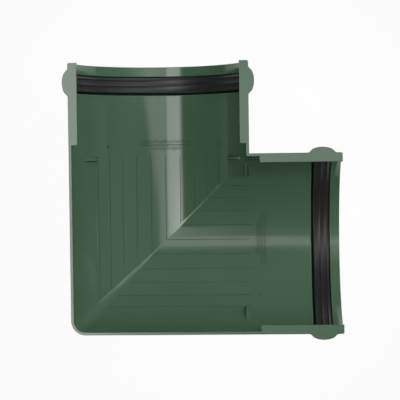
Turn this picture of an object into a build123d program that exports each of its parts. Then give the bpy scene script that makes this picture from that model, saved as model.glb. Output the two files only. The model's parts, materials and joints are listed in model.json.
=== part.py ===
from build123d import *
import os
from math import sqrt

# Gutter corner: half-round channels that meet in a mitre, each ending in a socket with a rubber seal.
# It is drawn about the crossing of the two channel axes, in the rim plane, and then set on its foot.

# Driving dimensions, in millimetres and degrees

# Half-round gutter that the sockets take
gutter_radius = 62.5
socket_clearance = 0.3

# Moulded channel
wall = 2.2
corner_round = 8.3
ridge_cut = 0.9
mouth_chamfer = 1.2

# Socket and its rim lips
socket_length = 59.2
lip_reach = 4.45
lip_thickness = 2.2

# Groove for the seal, and the housing that bulges round it
seal_from_mouth = 14.4
groove_width = 14.3
groove_floor_width = 12.2
groove_depth = 4.15
housing_flank_wall = 2.55
housing_shoulder_wall = 0.9
housing_crown = 1.4

# Rubber seal
seal_clearance = 0.05
seal_base = 3.5
seal_inner_gap = 1.85
seal_mouth_gap = 0.9
seal_lip_count = 3
seal_lip_face = 0.7
seal_lip_proud = 0.5
seal_last_lip = 2.45

# Stops for the gutter ends, just past the inner corner, and the room left for the gutter to lengthen
stop_setback = 0.15
expansion_gap = 9.5
stop_thickness = 1.5
stop_height = 2.5
stop_below_rim = 23.3
stop_span = 12.3

# Pips beside the insertion line
pip_radius = 0.9
pip_height = 0.8
pip_angle = 41.5

# Fine lines along the channel floor
line_count = 11
line_step = 10.2
line_width = 0.55
line_depth = 0.38
line_to_stop = 0.75

# Sizes that follow from them
bore_radius = gutter_radius + socket_clearance
skin_radius = bore_radius + wall
groove_radius = bore_radius + groove_depth
crown_radius = groove_radius + wall
stop_face = bore_radius + stop_setback
insertion_line = stop_face + expansion_gap
arm_length = insertion_line + socket_length
seal_middle = arm_length - seal_from_mouth
plan_reach = 2 * arm_length
mitre = Plane(origin=(0, 0, 0), z_dir=(1, -1, 0))


def arm_sector(radius, outer_round, inner_cut):
    """Upright prism over the plan of the arm along X, within the cuts that bound its mitre edges."""
    outer_share = 1 - outer_round / radius
    inner_share = 1 + inner_cut / radius
    plan = Polyline(
        (0, 0),
        (-plan_reach * outer_share, -plan_reach),
        (plan_reach, -plan_reach),
        (plan_reach, plan_reach / inner_share),
        (0, 0),
    )
    return extrude(make_face(plan), amount=plan_reach, both=True)


def rounded_corner(place, rounding):
    """Control points, in the rim plane, of the quarter circle that rounds off a corner of the channel."""
    return [(place, place + rounding), (place, place), (place + rounding, place)]


def cut_corner(place, cut):
    """Ends, in the rim plane, of the line that cuts off a corner of the channel."""
    return [(place, place + cut), (place + cut, place)]


def mitre_wedge(radius, plan):
    """Slice of the corner under a mitre whose edge follows this plan in the rim plane.

    The plan shrinks in step with the half-round section, down to the lowest point of the channel,
    so one exact patch joins both arms, and a quarter circle runs smoothly into them.
    """
    section = [(1, 0), (1, -radius), (0, -radius)]
    arc_weights = [1, sqrt(0.5), 1]
    plan_weights = arc_weights if len(plan) == len(arc_weights) else [1] * len(plan)
    patch = Face.make_bezier_surface(
        [[(share * x, share * y, z) for share, z in section] for x, y in plan],
        [[across * down for down in arc_weights] for across in plan_weights],
    )
    crossing = Vector(0, 0, 0)
    lowest = Vector(0, 0, -radius)
    first_mitre, second_mitre, rim_edge = patch.edges().sort_by(Axis.Z)
    faces = [patch]
    faces.append(Face(Wire([rim_edge, Line(rim_edge @ 1, crossing), Line(crossing, rim_edge @ 0)])))
    for curve in (first_mitre, second_mitre):
        top = curve.vertices().sort_by(Axis.Z)[-1].center()
        faces.append(Face(Wire([curve, Line(top, crossing), Line(crossing, lowest)])))
    return Solid(Shell(faces))


def on_both_arms(solid):
    """The solid on the arm along X, and its mirror image on the arm along Y."""
    return [solid, mirror(solid, about=mitre)]


def half_turn(profile):
    """Turn a profile of axial and radial sizes half round the axis of the arm along X, below the rim."""
    return revolve(profile, Axis.X, -180)


def mitred_channel(arm, radius, outer_round):
    """Both arms, cut at the mitre and joined by the slice under its outer rounding."""
    arm_x, arm_y = on_both_arms(arm)
    return arm_x + [arm_y, mitre_wedge(radius, rounded_corner(-radius, outer_round))]


def outer_form():
    """Outside of the moulding, filled up to the rim plane."""
    foot = groove_width / 2 + housing_flank_wall
    shoulder = groove_floor_width / 2 + housing_shoulder_wall
    shoulder_radius = crown_radius - housing_crown
    feet = [(seal_middle + foot, skin_radius), (seal_middle - foot, skin_radius)]
    shoulders = [(seal_middle + shoulder, shoulder_radius), (seal_middle - shoulder, shoulder_radius)]
    mouth = (arm_length, skin_radius)
    outline = Polyline((-skin_radius, 0), (arm_length, 0), mouth, feet[0], shoulders[0])
    outline += ThreePointArc(shoulders[0], (seal_middle, crown_radius), shoulders[1])
    outline += Polyline(shoulders[1], feet[1], (-skin_radius, skin_radius), (-skin_radius, 0))
    profile = make_face(outline)
    profile = chamfer(profile.vertices().sort_by_distance((*mouth, 0))[0], mouth_chamfer)
    outer_round = corner_round + wall
    arm = half_turn(profile) & arm_sector(skin_radius, outer_round, 0)
    return mitred_channel(arm, skin_radius, outer_round)


def socket_lips():
    """Flat strips along both rims of the socket of the arm along X, to be left out of the hollow."""
    size = (socket_length + wall, plan_reach, 2 * lip_thickness)
    strip = Box(*size, align=(Align.MIN, Align.MIN, Align.CENTER))
    lip = Pos(insertion_line, bore_radius - lip_reach, 0) * strip
    return [lip, mirror(lip, about=Plane.XZ)]


def hollow():
    """Inside of the channel, with the seal grooves and the gaps between the socket lips."""
    mouth_half = groove_width / 2
    floor_half = groove_floor_width / 2
    outline = Polyline(
        (-bore_radius, 0),
        (arm_length + wall, 0),
        (arm_length + wall, bore_radius),
        (seal_middle + mouth_half, bore_radius),
        (seal_middle + floor_half, groove_radius),
        (seal_middle - floor_half, groove_radius),
        (seal_middle - mouth_half, bore_radius),
        (-bore_radius, bore_radius),
        close=True,
    )
    arm = half_turn(make_face(outline)) - socket_lips()
    arm &= arm_sector(bore_radius, corner_round, ridge_cut)
    ridge = mitre_wedge(bore_radius, cut_corner(bore_radius, ridge_cut))
    return mitred_channel(arm, bore_radius, corner_round) + ridge


def floor_lines():
    """Fine V-shaped cuts along the floor of the arm along X, from its mitre to the stops."""
    section = Polyline(
        (-line_width, line_depth - bore_radius),
        (line_width, line_depth - bore_radius),
        (0, -line_depth - bore_radius),
        close=True,
    )
    start = Plane(origin=(-bore_radius, 0, 0), x_dir=(0, 1, 0), z_dir=(1, 0, 0))
    cut = extrude(start * make_face(section), amount=bore_radius + stop_face + line_to_stop)
    sector = arm_sector(bore_radius, corner_round, ridge_cut)
    middle = (line_count - 1) / 2
    return [(Rot(X=(index - middle) * line_step) * cut) & sector for index in range(line_count)]


def stops():
    """Short ribs across both sides of the arm along X, where the gutter's end comes to a halt."""
    size = (stop_thickness, stop_height + wall / 2)
    rib = Pos(stop_face, bore_radius - stop_height) * Rectangle(*size, align=(Align.MAX, Align.MIN))
    stop = Rot(X=-stop_below_rim) * revolve(rib, Axis.X, -stop_span)
    return [stop, mirror(stop, about=Plane.XZ)]


def pips():
    """Small round pips on both sides of the arm along X, level with the insertion line."""
    root = wall / 2
    pin = Cylinder(pip_radius, root + pip_height, align=(Align.CENTER, Align.CENTER, Align.MIN))
    pip = Pos(insertion_line, 0, -bore_radius - root) * pin
    return [Rot(X=side * pip_angle) * pip for side in (-1, 1)]


def corner_body():
    """The one-piece moulding."""
    body = outer_form() - hollow()
    for cut in floor_lines():
        body -= on_both_arms(cut)
    for rib in stops() + pips():
        body += on_both_arms(rib)
    return body


def socket_seal():
    """Rubber strip with sawtooth lips, laid in the groove of the arm along X, under the rim lips."""
    base_radius = groove_radius - seal_clearance
    valley_radius = base_radius - seal_base
    crest_radius = bore_radius - seal_lip_proud
    base_half = groove_floor_width / 2 - seal_clearance
    inner_end = seal_middle - groove_width / 2 + seal_inner_gap
    mouth_end = seal_middle + groove_width / 2 - seal_mouth_gap
    pitch = (mouth_end - inner_end - seal_last_lip) / (seal_lip_count - 1)
    ramp = (valley_radius - crest_radius) / (pitch - seal_lip_face)
    end_radius = crest_radius + ramp * (seal_last_lip - seal_lip_face)
    outline = [(seal_middle + base_half, base_radius), (seal_middle - base_half, base_radius)]
    for index in range(seal_lip_count):
        valley = inner_end + index * pitch
        crest = valley + seal_lip_face
        outline += [(valley, valley_radius), (crest, crest_radius)]
    outline.append((mouth_end, end_radius))
    profile = make_face(Polyline(*outline, close=True))
    under_lips = Pos(seal_middle, 0, -lip_thickness - seal_clearance) * Box(
        2 * groove_width, 2 * crown_radius, crown_radius, align=(Align.CENTER, Align.CENTER, Align.MAX)
    )
    return half_turn(profile) & under_lips


# The origin is the middle of the part's bounding box, level with the lowest point of the seal housings
plan_middle = (arm_length - crown_radius) / 2
on_its_foot = Pos(-plan_middle, -plan_middle, crown_radius)

seal_x, seal_y = on_both_arms(socket_seal())
nodes = {"corner_body": corner_body(), "seal_x": seal_x, "seal_y": seal_y}

os.makedirs("parts", exist_ok=True)
for name, solid in nodes.items():
    export_step(on_its_foot * solid, f"parts/{name}.step")
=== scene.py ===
"""Gutter corner: moulded PVC body with two rubber seals, dressed and lit as a plain studio picture."""

import json
import logging
import math
from collections.abc import Mapping, Sequence
from dataclasses import dataclass
from enum import Enum
from typing import Any

import bmesh
import bpy
from mathutils import Matrix, Vector


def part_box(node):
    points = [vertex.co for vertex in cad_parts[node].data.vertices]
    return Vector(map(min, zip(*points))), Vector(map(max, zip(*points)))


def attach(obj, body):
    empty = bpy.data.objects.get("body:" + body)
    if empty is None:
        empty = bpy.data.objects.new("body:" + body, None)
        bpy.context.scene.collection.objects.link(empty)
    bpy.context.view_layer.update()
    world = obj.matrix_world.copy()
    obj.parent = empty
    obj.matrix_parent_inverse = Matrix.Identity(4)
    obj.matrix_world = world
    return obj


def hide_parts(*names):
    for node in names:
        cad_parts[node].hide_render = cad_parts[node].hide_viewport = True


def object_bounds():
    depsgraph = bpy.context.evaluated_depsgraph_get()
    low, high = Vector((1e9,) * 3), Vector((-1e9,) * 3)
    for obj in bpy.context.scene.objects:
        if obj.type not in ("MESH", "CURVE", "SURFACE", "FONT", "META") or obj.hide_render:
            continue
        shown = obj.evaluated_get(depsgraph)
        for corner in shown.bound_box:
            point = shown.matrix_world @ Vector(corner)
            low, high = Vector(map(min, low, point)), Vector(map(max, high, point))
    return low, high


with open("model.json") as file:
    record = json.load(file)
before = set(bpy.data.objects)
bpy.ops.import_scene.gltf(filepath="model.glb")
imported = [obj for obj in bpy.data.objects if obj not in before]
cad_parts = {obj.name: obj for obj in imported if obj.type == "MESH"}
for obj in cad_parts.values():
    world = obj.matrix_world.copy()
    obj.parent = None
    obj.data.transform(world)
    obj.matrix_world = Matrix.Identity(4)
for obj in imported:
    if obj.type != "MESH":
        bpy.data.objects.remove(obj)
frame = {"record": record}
cad_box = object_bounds()

LOG = logging.getLogger("gutter_corner")
MM = 0.001
Pair = tuple[float, float]
Triple = tuple[float, float, float]


def linear_colour(code: str) -> tuple[float, float, float, float]:
    """Turn an sRGB hex colour into linear light.

    Args:
        code: six hex digits after a hash sign.

    Returns:
        Linear red, green and blue, and an alpha of 1.
    """
    shares = [int(code[place : place + 2], 16) / 255 for place in (1, 3, 5)]
    light = [s / 12.92 if s <= 0.04045 else ((s + 0.055) / 1.055) ** 2.4 for s in shares]
    return light[0], light[1], light[2], 1.0


def add_node(
    tree: bpy.types.NodeTree,
    kind: str,
    settings: Mapping[str, Any] | None = None,
    inputs: Mapping[str | int, Any] | None = None,
) -> bpy.types.Node:
    """Add a node with its settings, values and links.

    Args:
        tree: the node tree that takes the node.
        kind: Blender's type name of the node.
        settings: properties of the node itself.
        inputs: for each input socket, a value, or an output socket to link from.

    Returns:
        The new node.
    """
    node = tree.nodes.new(kind)
    for name, value in (settings or {}).items():
        setattr(node, name, value)
    for socket, value in (inputs or {}).items():
        if isinstance(value, bpy.types.NodeSocket):
            tree.links.new(value, node.inputs[socket])
        else:
            node.inputs[socket].default_value = value
    return node


def new_material(name: str) -> tuple[bpy.types.Material, bpy.types.NodeTree]:
    """Start an empty node material.

    Args:
        name: the material's name.

    Returns:
        The material and its node tree.
    """
    material = bpy.data.materials.new(name)
    material.use_nodes = True
    material.node_tree.nodes.clear()
    return material, material.node_tree


class Arm(Enum):
    """One of the two channels, by the direction of its axis."""

    X = 0
    Y = 1


@dataclass(frozen=True)
class Channel:
    """The two half-round channels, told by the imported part. Sizes in mm."""

    crossing: Vector
    bore: float
    insertion: float
    length: float

    @classmethod
    def from_frame(cls) -> "Channel":
        """Read the sizes from the record's sockets."""
        sockets = {mount["name"]: mount for mount in frame["record"]["mounts"]}
        mouth_x, mouth_y = (Vector(sockets[name]["pos_m"]) / MM for name in ("socket_x", "socket_y"))
        crossing = Vector((mouth_y.x, mouth_x.y, mouth_x.z))
        length = mouth_x.x - crossing.x
        sizes = sockets["socket_x"]["dims"]
        return cls(crossing, sizes["r_mm"], length - sizes["length_mm"], length)

    def point(self, arm: Arm, axial: float, across: float, height: float) -> Vector:
        """Find a point by its place in an arm's section.

        Args:
            arm: the channel.
            axial: distance from the crossing of the axes.
            across: distance from the axis, towards the inner corner.
            height: height above the rim.

        Returns:
            The point in the part's frame, in metres.
        """
        plan = (axial, across) if arm is Arm.X else (across, axial)
        return (self.crossing + Vector((*plan, height))) * MM

    def turned(self, arm: Arm, axial: float, angle: float, radius: float) -> Vector:
        """Find a point by its turn about an arm's axis.

        Args:
            arm: the channel.
            axial: distance from the crossing of the axes.
            angle: turn from the lowest line, towards the inner corner, in radians.
            radius: distance from the axis.

        Returns:
            The point in the part's frame, in metres.
        """
        return self.point(arm, axial, radius * math.sin(angle), -radius * math.cos(angle))


def skin_rows(bm: bmesh.types.BMesh, rows: Sequence[Sequence[Vector]]) -> None:
    """Cover a row of closed outlines, each with as many points, and close both ends.

    Args:
        bm: the mesh that takes the faces.
        rows: the outlines, in order.
    """
    rings = [[bm.verts.new(point) for point in row] for row in rows]
    for ring, following in zip(rings, rings[1:]):
        for place in range(len(ring)):
            bm.faces.new((ring[place - 1], ring[place], following[place], following[place - 1]))
    bm.faces.new(rings[0])
    bm.faces.new(rings[-1])


def add_bar(
    bm: bmesh.types.BMesh,
    arm: Arm,
    channel: Channel,
    axial: Pair,
    angles: Pair,
    heights: Pair,
    drafts: Pair,
    root: float = 0.3,
    arc_step: float = math.radians(1.0),
) -> None:
    """Raise a bar with sloping sides from the wall of a channel.

    Args:
        bm: the mesh that takes the bar.
        arm: the channel.
        channel: the channels' sizes.
        axial: where the bar starts and ends along the channel, in mm.
        angles: where it starts and ends around the channel, in radians.
        heights: how far it stands out of the wall at both ends of its turn, in mm.
        drafts: how far its sides lean in at both axial ends, in mm.
        root: how deep it sits in the wall, in mm.
        arc_step: largest turn between two points of its length, in radians.
    """
    foot = channel.bore + root
    lean = min(drafts) / channel.bore
    steps = max(1, math.ceil((angles[1] - angles[0]) / arc_step))
    rows = []
    for step in range(steps + 1):
        share = step / steps
        top = channel.bore - heights[0] - share * (heights[1] - heights[0])
        low_angle = angles[0] + share * (angles[1] - angles[0])
        high_angle = low_angle + lean * (1 - 2 * share)
        spots = [
            (axial[0], low_angle, foot),
            (axial[0] + drafts[0], high_angle, top),
            (axial[1] - drafts[1], high_angle, top),
            (axial[1], low_angle, foot),
        ]
        rows.append([channel.turned(arm, *spot) for spot in spots])
    skin_rows(bm, rows)


def finish_mesh(
    bm: bmesh.types.BMesh, name: str, material: bpy.types.Material, sharp_deg: float = 30.0
) -> bpy.types.Object:
    """Turn a built mesh into a piece that rides on the part.

    Args:
        bm: the mesh, which is used up.
        name: the piece's name.
        material: its finish.
        sharp_deg: the angle from which an edge between faces stays sharp.

    Returns:
        The piece.
    """
    bmesh.ops.recalc_face_normals(bm, faces=bm.faces)
    for face in bm.faces:
        face.smooth = True
    for edge in bm.edges:
        edge.smooth = edge.calc_face_angle(0.0) < math.radians(sharp_deg)
    mesh = bpy.data.meshes.new(name)
    bm.to_mesh(mesh)
    bm.free()
    mesh.materials.append(material)
    piece = bpy.data.objects.new(name, mesh)
    bpy.context.scene.collection.objects.link(piece)
    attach(piece, "root")
    LOG.info("piece %s, %d faces", name, len(mesh.polygons))
    return piece


@dataclass(frozen=True)
class MouldedPvc:
    """Unplasticised PVC, injection moulded in a polished tool.

    To the eye: an even, slightly greyed green with a clear gloss, so that lights show as sharp-edged bands
    that waver a little where the melt shrank back from the tool.
    """

    name: str = "pvc_moulded_green"
    colour: str = "#496550"
    drift_colour: str = "#4D6952"
    drift_mm: float = 38.0
    ior: float = 1.53
    roughness: float = 0.1
    sink_mm: float = 17.0
    sink_depth_mm: float = 0.006
    grain_mm: float = 0.9
    grain_depth_mm: float = 0.0012
    noise_detail: float = 1.0

    def material(self) -> bpy.types.Material:
        """Build the node material.

        Returns:
            The material.
        """
        material, tree = new_material(self.name)
        place = add_node(tree, "ShaderNodeTexCoord").outputs["Object"]
        drift, sink, grain = (
            add_node(
                tree,
                "ShaderNodeTexNoise",
                None,
                {"Vector": place, "Scale": 1 / (size * MM), "Detail": self.noise_detail},
            ).outputs["Fac"]
            for size in (self.drift_mm, self.sink_mm, self.grain_mm)
        )
        green = add_node(
            tree,
            "ShaderNodeMix",
            {"data_type": "RGBA"},
            {"Factor": drift, "A": linear_colour(self.colour), "B": linear_colour(self.drift_colour)},
        )
        waver = add_node(tree, "ShaderNodeBump", None, {"Distance": self.sink_depth_mm * MM, "Height": sink})
        relief = add_node(
            tree,
            "ShaderNodeBump",
            None,
            {"Distance": self.grain_depth_mm * MM, "Height": grain, "Normal": waver.outputs["Normal"]},
        )
        plastic = add_node(
            tree,
            "ShaderNodeBsdfPrincipled",
            None,
            {
                "Base Color": green.outputs["Result"],
                "Roughness": self.roughness,
                "IOR": self.ior,
                "Normal": relief.outputs["Normal"],
            },
        )
        add_node(tree, "ShaderNodeOutputMaterial", None, {"Surface": plastic.outputs["BSDF"]})
        return material


@dataclass(frozen=True)
class ExtrudedRubber:
    """EPDM rubber strip, extruded and cured.

    To the eye: near black with a soft grey sheen along the lips, drawn out by the fine lines that the die
    leaves along the strip, and a faint, patchy bloom.
    """

    name: str = "epdm_extruded_black"
    colour: str = "#1D1D1E"
    bloom_colour: str = "#29292A"
    bloom_mm: float = 7.0
    bloom_detail: float = 3.0
    ior: float = 1.52
    roughness: float = 0.36
    die_line_mm: float = 0.35
    die_line_depth_mm: float = 0.006
    die_line_detail: float = 1.0
    die_place: str = "die_place"

    def material(self) -> bpy.types.Material:
        """Build the node material.

        Returns:
            The material.
        """
        material, tree = new_material(self.name)
        place = add_node(tree, "ShaderNodeTexCoord").outputs["Object"]
        bloom = add_node(
            tree,
            "ShaderNodeTexNoise",
            None,
            {"Vector": place, "Scale": 1 / (self.bloom_mm * MM), "Detail": self.bloom_detail},
        )
        black = add_node(
            tree,
            "ShaderNodeMix",
            {"data_type": "RGBA"},
            {
                "Factor": bloom.outputs["Fac"],
                "A": linear_colour(self.colour),
                "B": linear_colour(self.bloom_colour),
            },
        )
        across = add_node(tree, "ShaderNodeAttribute", {"attribute_name": self.die_place}).outputs["Fac"]
        lines = add_node(
            tree,
            "ShaderNodeTexNoise",
            {"noise_dimensions": "1D"},
            {"W": across, "Scale": 1 / self.die_line_mm, "Detail": self.die_line_detail},
        )
        relief = add_node(
            tree,
            "ShaderNodeBump",
            None,
            {"Distance": self.die_line_depth_mm * MM, "Height": lines.outputs["Fac"]},
        )
        rubber = add_node(
            tree,
            "ShaderNodeBsdfPrincipled",
            None,
            {
                "Base Color": black.outputs["Result"],
                "Roughness": self.roughness,
                "IOR": self.ior,
                "Normal": relief.outputs["Normal"],
            },
        )
        add_node(tree, "ShaderNodeOutputMaterial", None, {"Surface": rubber.outputs["BSDF"]})
        return material


@dataclass(frozen=True)
class PaperSweep:
    """Matt white background paper on a table in a darker room.

    To the eye: white without a texture. Most of its white is the same in light and shade, so that the part's
    shadow stays faint. The gloss mirrors white paper near the part, and the dim room further off.
    """

    name: str = "paper_white"
    colour: str = "#FCFCFC"
    room_colour: str = "#5A5A5A"
    table_mm: Pair = (110.0, 240.0)
    shade_share: float = 0.06

    def material(self) -> bpy.types.Material:
        """Build the node material.

        Returns:
            The material.
        """
        material, tree = new_material(self.name)
        path = add_node(tree, "ShaderNodeLightPath").outputs
        place = add_node(tree, "ShaderNodeNewGeometry").outputs["Position"]
        distance = add_node(tree, "ShaderNodeVectorMath", {"operation": "LENGTH"}, {0: place})
        near, far = (edge * MM for edge in self.table_mm)
        table = add_node(
            tree,
            "ShaderNodeMapRange",
            None,
            {
                "Value": distance.outputs["Value"],
                "From Min": near,
                "From Max": far,
                "To Min": 1.0,
                "To Max": 0.0,
            },
        ).outputs["Result"]
        colour = add_node(
            tree,
            "ShaderNodeMix",
            {"data_type": "RGBA"},
            {"Factor": table, "A": linear_colour(self.room_colour), "B": linear_colour(self.colour)},
        )
        mirrored = add_node(
            tree, "ShaderNodeMath", {"operation": "MULTIPLY"}, {0: path["Is Glossy Ray"], 1: table}
        )
        straight = add_node(
            tree,
            "ShaderNodeMath",
            {"operation": "MAXIMUM"},
            {0: path["Is Camera Ray"], 1: path["Is Transmission Ray"]},
        )
        seen = add_node(
            tree,
            "ShaderNodeMath",
            {"operation": "MAXIMUM"},
            {0: straight.outputs["Value"], 1: mirrored.outputs["Value"]},
        )
        even_share = add_node(
            tree,
            "ShaderNodeMath",
            {"operation": "MULTIPLY"},
            {0: seen.outputs["Value"], 1: 1 - self.shade_share},
        )
        paper = add_node(tree, "ShaderNodeBsdfDiffuse", None, {"Color": colour.outputs["Result"]})
        even_white = add_node(tree, "ShaderNodeEmission", None, {"Strength": 1.0})
        mix = add_node(
            tree,
            "ShaderNodeMixShader",
            None,
            {0: even_share.outputs["Value"], 1: paper.outputs["BSDF"], 2: even_white.outputs["Emission"]},
        )
        add_node(tree, "ShaderNodeOutputMaterial", None, {"Surface": mix.outputs["Shader"]})
        return material


def eased_corner(
    before: Pair, corner: Pair, after: Pair, reach: float, steps: int = 4, held: float = 1.2
) -> list[Pair]:
    """Round off a corner of an outline, with a point before and after that holds the flat sides.

    Args:
        before: a point on the side that leads to the corner.
        corner: the corner.
        after: a point on the side that leads away from it.
        reach: how far from the corner the rounding starts on each side.
        steps: the number of straight pieces in the rounding.
        held: how far from the corner the flat sides are held, in reaches.

    Returns:
        The points that take the corner's place.
    """
    middle = Vector(corner)
    back = (Vector(before) - middle).normalized() * reach
    ahead = (Vector(after) - middle).normalized() * reach
    shares = [step / steps for step in range(steps + 1)]
    curve = [middle + back * (1 - t) ** 2 + ahead * t**2 for t in shares]
    return [tuple(point) for point in (middle + back * held, *curve, middle + ahead * held)]


def height_at(outline: Sequence[Pair], place: float) -> float:
    """Read an outline that runs from left to right.

    Args:
        outline: its points.
        place: how far along it is read.

    Returns:
        The outline's height there.
    """
    for (left, low), (right, high) in zip(outline, outline[1:]):
        if left <= place <= right and left < right:
            return low + (high - low) * (place - left) / (right - left)
    return outline[-1][1]


@dataclass(frozen=True)
class CornerShell:
    """The one-piece moulding: mitred half-round shell with two sockets, stops and pips. Sizes in mm.

    It has the solid's form in a finer mesh, so that lights glide evenly along the walls, with eased edges.
    """

    # Shell
    wall: float = 2.2
    corner_round: float = 8.3
    ridge_round: float = 1.6
    ridge_ease: float = 6.0
    edge_round: float = 0.35
    mouth_round: float = 1.5
    # Lips along the socket's rim
    lip_reach: float = 4.45
    lip_thickness: float = 2.2
    end_draft: float = 0.15
    # Groove for the seal, and the housing that bulges round it
    seal_from_mouth: float = 14.4
    groove_width: float = 14.3
    groove_floor_width: float = 12.2
    groove_depth: float = 4.15
    housing_foot: float = 9.7
    housing_shoulder: float = 7.0
    housing_crown: float = 1.4
    housing_round: float = 1.0
    # Stops for the gutter's end
    stop_to_insertion: float = 9.5
    stop_thickness: float = 2.9
    stop_foot: float = 1.125
    stop_drafts: Pair = (1.0, 1.5)
    stop_heights: Pair = (3.4, 1.0)
    stop_from_deg: float = 52.2
    stop_to_deg: float = 66.7
    # Pips, with the radius and height of each step of their domes
    pip_deg: float = 41.5
    pip_profile: tuple[Pair, ...] = (
        (1.35, -0.3),
        (1.3, 0.7),
        (1.15, 1.1),
        (0.9, 1.35),
        (0.55, 1.53),
        (0.2, 1.6),
    )
    # Fine lines, cut as a V near the lowest line and with a flat floor further up
    line_count: int = 11
    line_step_deg: float = 10.2
    line_width: float = 0.42
    line_floor: float = 0.38
    vee_floor: float = 0.06
    vee_within_deg: float = 35.0
    line_depth: float = 0.38
    line_past_stop: float = 0.75
    # Fineness of the mesh
    bore_step_deg: float = 0.6
    skin_step_deg: float = 2.0
    mitre_steps: int = 16
    housing_steps: int = 10
    pip_sides: int = 24
    merge_within: float = 1e-4

    def bore_outline(self, channel: Channel) -> list[Pair]:
        """Work out the inside, from the insertion line to the mouth, with the seal's groove.

        Args:
            channel: the channels' sizes.

        Returns:
            Axial place and radius of its points.
        """
        bore, end = channel.bore, channel.length
        middle = end - self.seal_from_mouth
        half, floor_half = self.groove_width / 2, self.groove_floor_width / 2
        floor = bore + self.groove_depth
        corners = [
            (channel.insertion, bore),
            (middle - half, bore),
            (middle - floor_half, floor),
            (middle + floor_half, floor),
            (middle + half, bore),
            (end, bore),
            (end, floor),
        ]
        return self.eased(corners, self.edge_round)

    def skin_outline(self, channel: Channel) -> list[Pair]:
        """Work out the outside, from the insertion line to the mouth, with the seal's housing.

        Args:
            channel: the channels' sizes.

        Returns:
            Axial place and radius of its points.
        """
        skin, end = channel.bore + self.wall, channel.length
        middle = end - self.seal_from_mouth
        crown = channel.crossing.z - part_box("corner_body")[0].z / MM
        arc_radius = (self.housing_shoulder**2 + self.housing_crown**2) / (2 * self.housing_crown)
        half_arc = math.asin(self.housing_shoulder / arc_radius)
        arc = []
        for step in range(self.housing_steps + 1):
            angle = half_arc * (2 * step / self.housing_steps - 1)
            arc.append((middle + arc_radius * math.sin(angle), crown - arc_radius * (1 - math.cos(angle))))
        first_foot, last_foot = (middle - self.housing_foot, skin), (middle + self.housing_foot, skin)
        # The rounded shoulders take the places of the outermost points of the crown's arc
        outline = [(channel.insertion, skin)]
        outline += eased_corner(outline[0], first_foot, arc[0], self.housing_round)
        outline += eased_corner(first_foot, arc[0], arc[2], self.housing_round)
        outline += arc[2:-2]
        outline += eased_corner(arc[-3], arc[-1], last_foot, self.housing_round)
        outline += eased_corner(arc[-1], last_foot, (end, skin), self.housing_round)
        outline += eased_corner(last_foot, (end, skin), (end, channel.bore), self.mouth_round)[:-1]
        return outline

    @staticmethod
    def eased(corners: Sequence[Pair], reach: float) -> list[Pair]:
        """Ease all corners between the first and the last, and leave out the last.

        Args:
            corners: the outline.
            reach: how far from a corner its rounding starts.

        Returns:
            The outline with its corners rounded off.
        """
        outline = [corners[0]]
        for before, corner, after in zip(corners, corners[1:], corners[2:]):
            outline += eased_corner(before, corner, after, reach)
        return outline[:-1]

    def bore_turns(self, bore: float) -> list[Pair]:
        """Choose the points round the bore, under the lips.

        Args:
            bore: radius of the channel.

        Returns:
            For each point its turn from the lowest line, in radians, and its share of the fine lines' depth.
        """
        end = math.acos(self.lip_thickness / bore)
        edge = self.line_width / 2 / bore
        middle = (self.line_count - 1) / 2
        lines = [math.radians((index - middle) * self.line_step_deg) for index in range(self.line_count)]
        count = round(2 * end / math.radians(self.bore_step_deg))
        evenly = [end * (2 * index / count - 1) for index in range(count + 1)]
        turns = [(turn, 0.0) for turn in evenly if all(abs(turn - line) > 2 * edge for line in lines)]
        for line in lines:
            floor = self.vee_floor if abs(line) < math.radians(self.vee_within_deg) else self.line_floor
            turns += [(line + side * edge, 0.0) for side in (-1, 1)]
            turns += [(line + side * floor / 2 / bore, 1.0) for side in (-1, 1)]
        return sorted(turns)

    def section(
        self, channel: Channel, bore: float, skin: float, lipped: bool, lined: bool
    ) -> list[list[Pair]]:
        """Work out the wall's section.

        Args:
            channel: the channels' sizes.
            bore: inner radius.
            skin: outer radius.
            lipped: whether the socket's lips stand in from the rim.
            lined: whether the fine lines are cut into the floor.

        Returns:
            Places across and heights of the outside, from the outer rim to the inner one, and of the
            inside, on the way back.
        """
        ease, thickness = self.edge_round, self.lip_thickness
        face = channel.bore - self.lip_reach if lipped else bore
        rim = eased_corner((skin, -1), (skin, 0), (0, 0), ease)
        last_turn = math.acos(-rim[0][1] / skin)
        count = round(2 * last_turn / math.radians(self.skin_step_deg))
        turns = [last_turn * (2 * index / count - 1) for index in range(1, count)]
        outside = [(-across, height) for across, height in reversed(rim)]
        outside += [(skin * math.sin(turn), -skin * math.cos(turn)) for turn in turns] + rim
        upper = eased_corner((skin, 0), (face, 0), (face, -1), ease)
        lower = eased_corner((face, 0), (face, -thickness), (skin, -thickness), ease)
        if not lipped:
            first, steps = upper[-1][1], len(lower) + 1
            heights = [first - (first + thickness) * step / steps for step in range(1, steps)]
            lower = [(math.sqrt(bore**2 - height**2), height) for height in heights]
        stretch = math.acos(thickness / bore) / math.acos(thickness / channel.bore)
        floor = []
        for turn, share in self.bore_turns(channel.bore):
            radius = bore + share * self.line_depth * lined
            floor.append((radius * math.sin(turn * stretch), -radius * math.cos(turn * stretch)))
        edge = upper + lower
        inside = edge + floor[::-1] + [(-across, height) for across, height in reversed(edge)]
        return [outside, inside]

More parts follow.
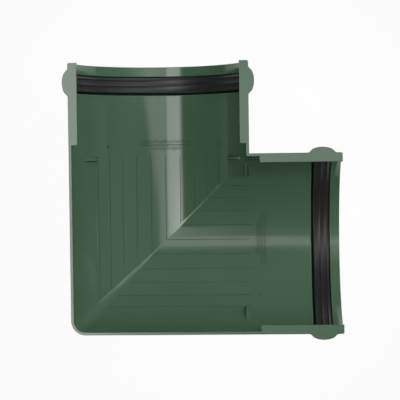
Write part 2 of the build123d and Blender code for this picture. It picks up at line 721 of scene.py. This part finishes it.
    def arm_rows(self, arm: Arm, channel: Channel) -> list[list[Vector]]:
        """Lay out the sections of one arm, from the fine lines' end to the mouth.

        Args:
            arm: the channel.
            channel: the channels' sizes.

        Returns:
            The closed outline of each section, in order.
        """
        inner, outer = self.bore_outline(channel), self.skin_outline(channel)
        skin = channel.bore + self.wall
        line_end = channel.insertion - self.stop_to_insertion + self.line_past_stop
        stations = [
            (line_end - self.end_draft, channel.bore, skin, False, True),
            (line_end, channel.bore, skin, False, False),
            (channel.insertion, channel.bore, skin, False, False),
        ]
        places = sorted({place for place, _ in inner[1:] + outer[1:]} | {channel.insertion + self.end_draft})
        for place in places:
            stations.append((place, height_at(inner, place), height_at(outer, place), True, False))
        stations.append((channel.length, inner[-1][1], outer[-1][1], True, False))
        rows = []
        for axial, *sizes in stations:
            outside, inside = self.section(channel, *sizes)
            row = [channel.point(arm, max(axial, across), across, height) for across, height in outside]
            for across, height in inside:
                mitre_end = across + self.ridge_radius(across)
                row.append(channel.point(arm, max(axial, mitre_end), across, height))
            rows.append(row)
        return rows

    def ridge_radius(self, across: float) -> float:
        """Radius of the ridge's rounding at a place across the channel, which runs out at the lowest line."""
        return self.ridge_round * (1 - math.exp(-max(across, 0.0) / self.ridge_ease))

    def mitre_rows(self, channel: Channel) -> list[list[Vector]]:
        """Lay out the sections that turn from one arm to the other, round the valley and the ridge.

        Args:
            channel: the channels' sizes.

        Returns:
            The closed outline of each section, in order from the arm along X.
        """
        skin = channel.bore + self.wall
        outer_share = (self.corner_round + self.wall) / skin
        inner_share = self.corner_round / channel.bore
        rows = []
        for step in range(self.mitre_steps + 1):
            turn = math.radians(270 - 90 * step / self.mitre_steps)
            lined = step in (0, self.mitre_steps)
            outside, inside = self.section(channel, channel.bore, skin, False, lined)
            row = []
            for spots, valley, ridged in ((outside, outer_share, False), (inside, inner_share, True)):
                for across, height in spots:
                    if across < 0:
                        middle, radius = across * (1 - valley), -across * valley
                    else:
                        radius = self.ridge_radius(across) if ridged else 0.0
                        middle = across + radius
                    plan = (middle + radius * math.cos(turn), middle + radius * math.sin(turn))
                    row.append(channel.point(Arm.X, *plan, height))
            rows.append(row)
        return rows

    def add_fittings(self, bm: bmesh.types.BMesh, arm: Arm, channel: Channel) -> None:
        """Add the stops for the gutter's end, and the domed pips beside the insertion line.

        Args:
            bm: the mesh that takes them.
            arm: the channel.
            channel: the channels' sizes.
        """
        face = channel.insertion - self.stop_to_insertion
        axial = (face - self.stop_thickness, face + self.stop_foot)
        low, high = math.radians(self.stop_from_deg), math.radians(self.stop_to_deg)
        add_bar(bm, arm, channel, axial, (low, high), self.stop_heights, self.stop_drafts)
        add_bar(bm, arm, channel, axial, (-high, -low), self.stop_heights[::-1], self.stop_drafts)
        sides = [math.tau * index / self.pip_sides for index in range(self.pip_sides)]
        for angle in (-math.radians(self.pip_deg), math.radians(self.pip_deg)):
            rows = []
            for radius, height in self.pip_profile:
                row = []
                for side in sides:
                    place = channel.insertion + radius * math.cos(side)
                    turn = angle + radius * math.sin(side) / channel.bore
                    row.append(channel.turned(arm, place, turn, channel.bore - height))
                rows.append(row)
            skin_rows(bm, rows)

    def build(self, channel: Channel, plastic: bpy.types.Material) -> None:
        """Build the moulding in place of the plain solid.

        Args:
            channel: the channels' sizes.
            plastic: the finish.
        """
        bm = bmesh.new()
        rows = self.arm_rows(Arm.X, channel)[::-1] + self.mitre_rows(channel) + self.arm_rows(Arm.Y, channel)
        skin_rows(bm, rows)
        bmesh.ops.remove_doubles(bm, verts=bm.verts, dist=self.merge_within * MM)
        for arm in Arm:
            self.add_fittings(bm, arm, channel)
        piece = finish_mesh(bm, "corner_moulding", plastic)
        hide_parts("corner_body")


@dataclass(frozen=True)
class SocketSeal:
    """Rubber strip in the groove of a socket, with lips that lean inwards like shingles. Sizes in mm."""

    base: float = 4.3
    inner_gap: float = 0.75
    lip_count: int = 3
    lip_face: float = 0.7
    lip_proud: float = 0.5
    last_lip: float = 2.45
    mouth_lean: float = 0.25
    crest_reach: float = 0.16
    ramp_power: float = 3.0
    ramp_steps: int = 10
    columns: int = 150

    def profile(self, low: float, high: float, base_radius: float, bore: float) -> list[Pair]:
        """Work out the strip's section.

        Args:
            low: axial place of the strip's inner edge, on the groove's floor.
            high: axial place of its end at the socket's mouth.
            base_radius: radius of its base.
            bore: radius of the channel.

        Returns:
            Axial place and radius of the corners.
        """
        inner_end = low + self.inner_gap
        valley, crest = base_radius - self.base, bore - self.lip_proud
        pitch = (high - inner_end - self.last_lip) / (self.lip_count - 1)
        outline: list[Pair] = [(low, base_radius)]
        for lip in range(self.lip_count):
            foot = inner_end + lip * pitch
            tip = (foot + self.lip_face, crest)
            ramp = []
            for step in range(1, self.ramp_steps):
                share = step / self.ramp_steps
                fall = 1 - (1 - share) ** self.ramp_power
                ramp.append((tip[0] + share * (pitch - self.lip_face), crest + fall * (valley - crest)))
            outline.append((foot, valley))
            outline += eased_corner((foot, valley), tip, ramp[0], self.crest_reach)
            outline += [point for point in ramp if point[0] < high]
        outline.append((high, outline[-1][1]))
        outline.append((high - self.mouth_lean, base_radius))
        return outline

    def build(self, arm: Arm, channel: Channel, finish: ExtrudedRubber, rubber: bpy.types.Material) -> None:
        """Bend the strip round its groove, in place of the plain solid.

        Args:
            arm: the channel whose socket takes the seal.
            channel: the channels' sizes.
            finish: what the rubber is like.
            rubber: its material.
        """
        node = f"seal_{arm.name.lower()}"
        low, high = (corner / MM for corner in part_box(node))
        start, end = (corner[arm.value] - channel.crossing[arm.value] for corner in (low, high))
        under_lips = channel.crossing.z - high.z
        outline = self.profile(start, end, channel.crossing.z - low.z, channel.bore)
        rows = []
        for column in range(self.columns + 1):
            turn = 2 * column / self.columns - 1
            row = []
            for axial, radius in outline:
                row.append(channel.turned(arm, axial, turn * math.acos(under_lips / radius), radius))
            rows.append(row)
        bm = bmesh.new()
        skin_rows(bm, rows)
        piece = finish_mesh(bm, f"{node}_strip", rubber)
        die_place = piece.data.attributes.new(finish.die_place, "FLOAT", "POINT")
        die_place.data.foreach_set("value", [axial for _ in rows for axial, _ in outline])
        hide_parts(node)


@dataclass(frozen=True)
class InsertionMark:
    """Fine raised line to which the gutter is pushed in, with plain graduations beside it. Sizes in mm."""

    half_angle_deg: float = 17.5
    line_width: float = 0.75
    peak_width: float = 0.08
    height: float = 0.45
    root: float = 0.05
    tick_step_deg: float = 1.3
    tick_width: float = 0.62
    tick_gap: float = 1.3
    short_tick: float = 2.3
    long_tick: float = 3.2
    long_every: int = 5
    inner_half_angle_deg: float = 11.5

    def add_peak(
        self, bm: bmesh.types.BMesh, arm: Arm, channel: Channel, axial: Pair, angles: Pair, width: float
    ) -> None:
        """Raise one fine bar with a narrow peak.

        Args:
            bm: the mesh that takes the bar.
            arm: the channel.
            channel: the channels' sizes.
            axial: where the bar starts and ends along the channel.
            angles: where it starts and ends around the channel, in radians.
            width: the bar's width.
        """
        draft = (width - self.peak_width) / 2
        heights = (self.height, self.height)
        add_bar(bm, arm, channel, axial, angles, heights, (draft, draft), root=self.root)

    def add_ticks(
        self, bm: bmesh.types.BMesh, arm: Arm, channel: Channel, side: int, half_angle_deg: float
    ) -> None:
        """Add a row of graduations on one side of the line.

        Args:
            bm: the mesh that takes them.
            arm: the channel.
            channel: the channels' sizes.
            side: 1 towards the mouth, -1 towards the corner.
            half_angle_deg: how far the row reaches to each side of the lowest line.
        """
        reach = int(half_angle_deg / self.tick_step_deg)
        half_width = self.tick_width / 2 / channel.bore
        for index in range(-reach, reach + 1):
            length = self.long_tick if index % self.long_every == 0 else self.short_tick
            ends = sorted(channel.insertion + side * gap for gap in (self.tick_gap, self.tick_gap + length))
            middle = math.radians(index * self.tick_step_deg)
            angles = (middle - half_width, middle + half_width)
            self.add_peak(bm, arm, channel, (ends[0], ends[1]), angles, self.tick_width)

    def build(self, arm: Arm, channel: Channel, plastic: bpy.types.Material) -> None:
        """Raise the line and its graduations on the channel's floor.

        Args:
            arm: the channel that gets the mark.
            channel: the channels' sizes.
            plastic: the finish.
        """
        bm = bmesh.new()
        half_angle = math.radians(self.half_angle_deg)
        line = (channel.insertion - self.line_width / 2, channel.insertion + self.line_width / 2)
        self.add_peak(bm, arm, channel, line, (-half_angle, half_angle), self.line_width)
        self.add_ticks(bm, arm, channel, 1, self.half_angle_deg)
        self.add_ticks(bm, arm, channel, -1, self.inner_half_angle_deg)
        piece = finish_mesh(bm, f"insertion_mark_{arm.name.lower()}", plastic)


@dataclass(frozen=True)
class Softbox:
    """Large studio light behind cloth, so soft that its own shape is not mirrored.

    Its brightness is that of its face, beside white paper in full light as 1.
    """

    name: str
    middle_mm: Triple
    size_mm: Pair
    brightness: float

    def hang(self, target: Vector) -> None:
        """Put the light up and turn its face to the part.

        Args:
            target: the point that the light faces.
        """
        width, depth = (side * MM for side in self.size_mm)
        lamp = bpy.data.lights.new(self.name, "AREA")
        lamp.shape = "RECTANGLE"
        lamp.size = width
        lamp.size_y = depth
        lamp.energy = self.brightness * math.pi * width * depth
        light = bpy.data.objects.new(self.name, lamp)
        light.location = Vector(self.middle_mm) * MM
        light.rotation_euler = (target - light.location).to_track_quat("-Z", "Y").to_euler()
        light.visible_glossy = False
        bpy.context.scene.collection.objects.link(light)
        LOG.info("light %s", self.name)


@dataclass(frozen=True)
class GlowSheet:
    """Glowing sheet that the gloss mirrors, in rows of spots.

    A spot has its places along X and Y, in metres, and its brightness beside white paper in full light as 1.
    The rows hang at heights of their own, or all at the same height overhead.
    """

    name: str
    rows: tuple[tuple[Triple, ...], ...]
    heights_m: tuple[float, ...] = ()
    overhead_m: float = 10.0

    def hang(self, material: bpy.types.Material, glow_name: str) -> None:
        """Put the sheet up, out of the camera's sight.

        Args:
            material: the sheet's finish, which reads the brightness.
            glow_name: name of the brightness in the mesh.
        """
        heights = self.heights_m or (self.overhead_m,) * len(self.rows)
        places, glows = [], []
        for row, height in zip(self.rows, heights):
            for along_x, along_y, brightness in row:
                places.append((along_x, along_y, height))
                glows.append(brightness)
        width = len(self.rows[0])
        faces = []
        for first in range(0, len(places) - width, width):
            for corner in range(first, first + width - 1):
                faces.append((corner, corner + 1, corner + 1 + width, corner + width))
        mesh = bpy.data.meshes.new(self.name)
        mesh.from_pydata(places, [], faces)
        glow = mesh.attributes.new(glow_name, "FLOAT", "POINT")
        glow.data.foreach_set("value", glows)
        mesh.materials.append(material)
        sheet = bpy.data.objects.new(self.name, mesh)
        sheet.visible_camera = False
        bpy.context.scene.collection.objects.link(sheet)
        LOG.info("sheet %s", self.name)


@dataclass(frozen=True)
class Studio:
    """White floor, pale surroundings, glowing sheets that the gloss mirrors, and soft lights."""

    sheets: tuple[GlowSheet, ...] = (
        GlowSheet(
            "overhead_left",
            (
                ((-5.4, 1.8, 0.3), (-4.4, 1.8, 0.4), (-1.28, 1.8, 0.4)),
                ((-5.4, 1.2, 0.4), (-4.4, 1.2, 4.3), (-1.28, 1.2, 4.3)),
                ((-5.4, 0.0, 0.4), (-4.4, 0.0, 4.8), (-1.28, 0.0, 4.3)),
                ((-5.4, -0.3, 0.5), (-4.4, -0.3, 6.2), (-1.28, -0.3, 4.2)),
                ((-5.4, -1.28, 0.5), (-4.4, -1.28, 7.0), (-1.28, -1.28, 4.4)),
            ),
        ),
        GlowSheet(
            "overhead_tail",
            (
                (
                    (-4.6, -1.28, 7.5),
                    (-1.5, -1.28, 6.0),
                    (-0.75, -1.28, 1.5),
                    (-0.3, -1.28, 0.7),
                    (1.0, -1.28, 0.3),
                ),
                (
                    (-4.6, -2.1, 7.0),
                    (-1.5, -2.1, 6.0),
                    (-0.75, -2.1, 1.1),
                    (-0.3, -2.1, 0.3),
                    (1.0, -2.1, 0.2),
                ),
                (
                    (-4.6, -3.6, 5.0),
                    (-1.5, -3.6, 4.0),
                    (-0.75, -3.6, 1.0),
                    (-0.3, -3.6, 0.3),
                    (1.0, -3.6, 0.15),
                ),
            ),
        ),
        GlowSheet(
            "overhead_strip",
            (
                ((-4.4, -3.1, 4.5), (-3.1, -4.2, 4.0)),
                ((-6.4, -4.9, 3.5), (-4.9, -6.2, 3.0)),
                ((-8.4, -6.5, 0.9), (-6.5, -8.2, 0.8)),
                ((-12.0, -9.5, 1.0), (-9.5, -12.0, 1.0)),
                ((-22.0, -14.5, 2.0), (-14.5, -22.0, 2.0)),
            ),
        ),
        GlowSheet(
            "overhead_right",
            (
                ((-1.26, 1.8, 0.2), (6.0, 1.8, 0.2), (8.0, 1.8, 0.1)),
                ((-1.26, 1.05, 1.0), (5.0, 1.05, 1.0), (6.8, 1.05, 0.1)),
                ((-1.26, 0.6, 2.0), (3.6, 0.6, 1.95), (4.8, 0.6, 0.1)),
                ((-1.26, 0.38, 2.0), (2.7, 0.38, 1.95), (3.9, 0.38, 0.1)),
                ((-1.26, 0.1, 2.0), (2.2, 0.1, 1.95), (2.9, 0.1, 0.1)),
                ((-1.26, -0.11, 2.0), (0.7, -0.11, 1.9), (2.0, -0.11, 0.1)),
                ((-1.26, -0.3, 2.0), (0.2, -0.3, 1.75), (1.4, -0.3, 0.1)),
                ((-1.26, -1.14, 2.1), (0.3, -1.14, 1.75), (1.0, -1.14, 0.1)),
                ((-1.26, -1.28, 1.9), (0.1, -1.28, 0.8), (1.0, -1.28, 0.1)),
            ),
        ),
        GlowSheet(
            "side_window",
            (
                ((9.83, 1.21, 1.2), (9.52, 2.73, 1.1), (9.18, 3.71, 0.25), (7.6, 6.34, 0.2)),
                ((8.58, 1.21, 1.3), (8.32, 2.39, 1.2), (7.97, 3.38, 0.4), (6.1, 6.1, 0.2)),
                ((6.98, 0.88, 2.1), (6.12, 3.54, 1.6), (5.25, 4.73, 0.7), (3.54, 6.12, 0.3)),
                ((5.23, 0.74, 2.1), (4.18, 3.26, 1.0), (3.0, 4.37, 0.6), (0.92, 5.22, 0.3)),
                ((4.0, 0.68, 2.1), (3.12, 2.6, 1.0), (2.04, 3.52, 1.0), (0.6, 4.0, 0.9)),
                ((2.49, 0.64, 2.1), (1.98, 1.66, 1.8), (1.3, 2.24, 1.5), (0.45, 2.54, 1.3)),
                ((1.0, 0.75, 1.9), (0.9, 0.9, 1.9), (0.75, 1.05, 1.7), (0.45, 1.2, 1.3)),
            ),
            heights_m=(1.39, 5.0, 7.07, 8.48, 9.14, 9.66, 9.93),
        ),
    )
    lights: tuple[Softbox, ...] = (
        Softbox("key", (1650.0, 770.0, 1150.0), (3300.0, 2000.0), 1.75),
        Softbox("side_fill", (0.0, 1900.0, 1000.0), (1500.0, 1200.0), 1.0),
    )
    glow_name: str = "glow"
    floor_mm: float = 12000.0
    ambient: float = 0.05

    def lay_floor(self) -> None:
        """Lay the white paper under the part."""
        floor = bpy.data.meshes.new("floor")
        half = self.floor_mm * MM / 2
        corners = [(-half, -half, 0), (half, -half, 0), (half, half, 0), (-half, half, 0)]
        floor.from_pydata(corners, [], [(0, 1, 2, 3)])
        floor.materials.append(PaperSweep().material())
        piece = bpy.data.objects.new("floor", floor)
        bpy.context.scene.collection.objects.link(piece)

    def set_air(self) -> None:
        """Give the surroundings their faint, even light."""
        world = bpy.data.worlds.new("studio_air")
        world.use_nodes = True
        world.node_tree.nodes.clear()
        air = add_node(world.node_tree, "ShaderNodeBackground", None, {"Strength": self.ambient})
        add_node(world.node_tree, "ShaderNodeOutputWorld", None, {"Surface": air.outputs["Background"]})
        bpy.context.scene.world = world

    def hang_lights(self) -> None:
        """Hang the soft lights, turned to the part's middle, and the glowing sheets."""
        low, high = (Vector(corner) for corner in cad_box)
        for light in self.lights:
            light.hang((low + high) / 2)
        cloth, tree = new_material("cloth_glowing")
        strength = add_node(tree, "ShaderNodeAttribute", {"attribute_name": self.glow_name}).outputs["Fac"]
        glow = add_node(tree, "ShaderNodeEmission", None, {"Strength": strength})
        add_node(tree, "ShaderNodeOutputMaterial", None, {"Surface": glow.outputs["Emission"]})
        for sheet in self.sheets:
            sheet.hang(cloth, self.glow_name)

    def set_up(self) -> None:
        """Lay the floor, set the surroundings and hang the lights."""
        self.lay_floor()
        self.set_air()
        self.hang_lights()


@dataclass(frozen=True)
class PictureCamera:
    """Camera of the picture: long lens, looking down into the channels from almost straight above."""

    eye_mm: Triple = (50.01, 30.31, 1036.23)
    aim_mm: Triple = (-1.875, 0.797, 69.15)
    roll_deg: float = 0.7346
    lens_mm: float = 121.613
    sensor_mm: float = 36.0

    def set_up(self) -> None:
        """Place the camera and make it the scene's camera."""
        eye, aim = Vector(self.eye_mm) * MM, Vector(self.aim_mm) * MM
        ahead = (aim - eye).normalized()
        level_right = ahead.cross(Vector((0, 1, 0))).normalized()
        level_up = level_right.cross(ahead)
        roll = math.radians(self.roll_deg)
        up = level_up * math.cos(roll) + level_right * math.sin(roll)
        turn = Matrix((ahead.cross(up), up, -ahead)).transposed().to_4x4()
        lens = bpy.data.cameras.new("picture_camera")
        lens.lens = self.lens_mm
        lens.sensor_width = self.sensor_mm
        camera = bpy.data.objects.new("picture_camera", lens)
        camera.matrix_world = Matrix.Translation(eye) @ turn
        bpy.context.scene.collection.objects.link(camera)
        bpy.context.scene.camera = camera


def main() -> None:
    """Build and dress the part, then set the studio and the camera."""
    logging.basicConfig(level=logging.INFO, format="%(name)s: %(message)s")
    bpy.context.scene.view_settings.view_transform = "Standard"
    pvc = MouldedPvc().material()
    rubber_finish = ExtrudedRubber()
    rubber = rubber_finish.material()
    channel = Channel.from_frame()
    CornerShell().build(channel, pvc)
    for arm in Arm:
        SocketSeal().build(arm, channel, rubber_finish, rubber)
        InsertionMark().build(arm, channel, pvc)
    Studio().set_up()
    PictureCamera().set_up()


if __name__ == "__main__":
    main()
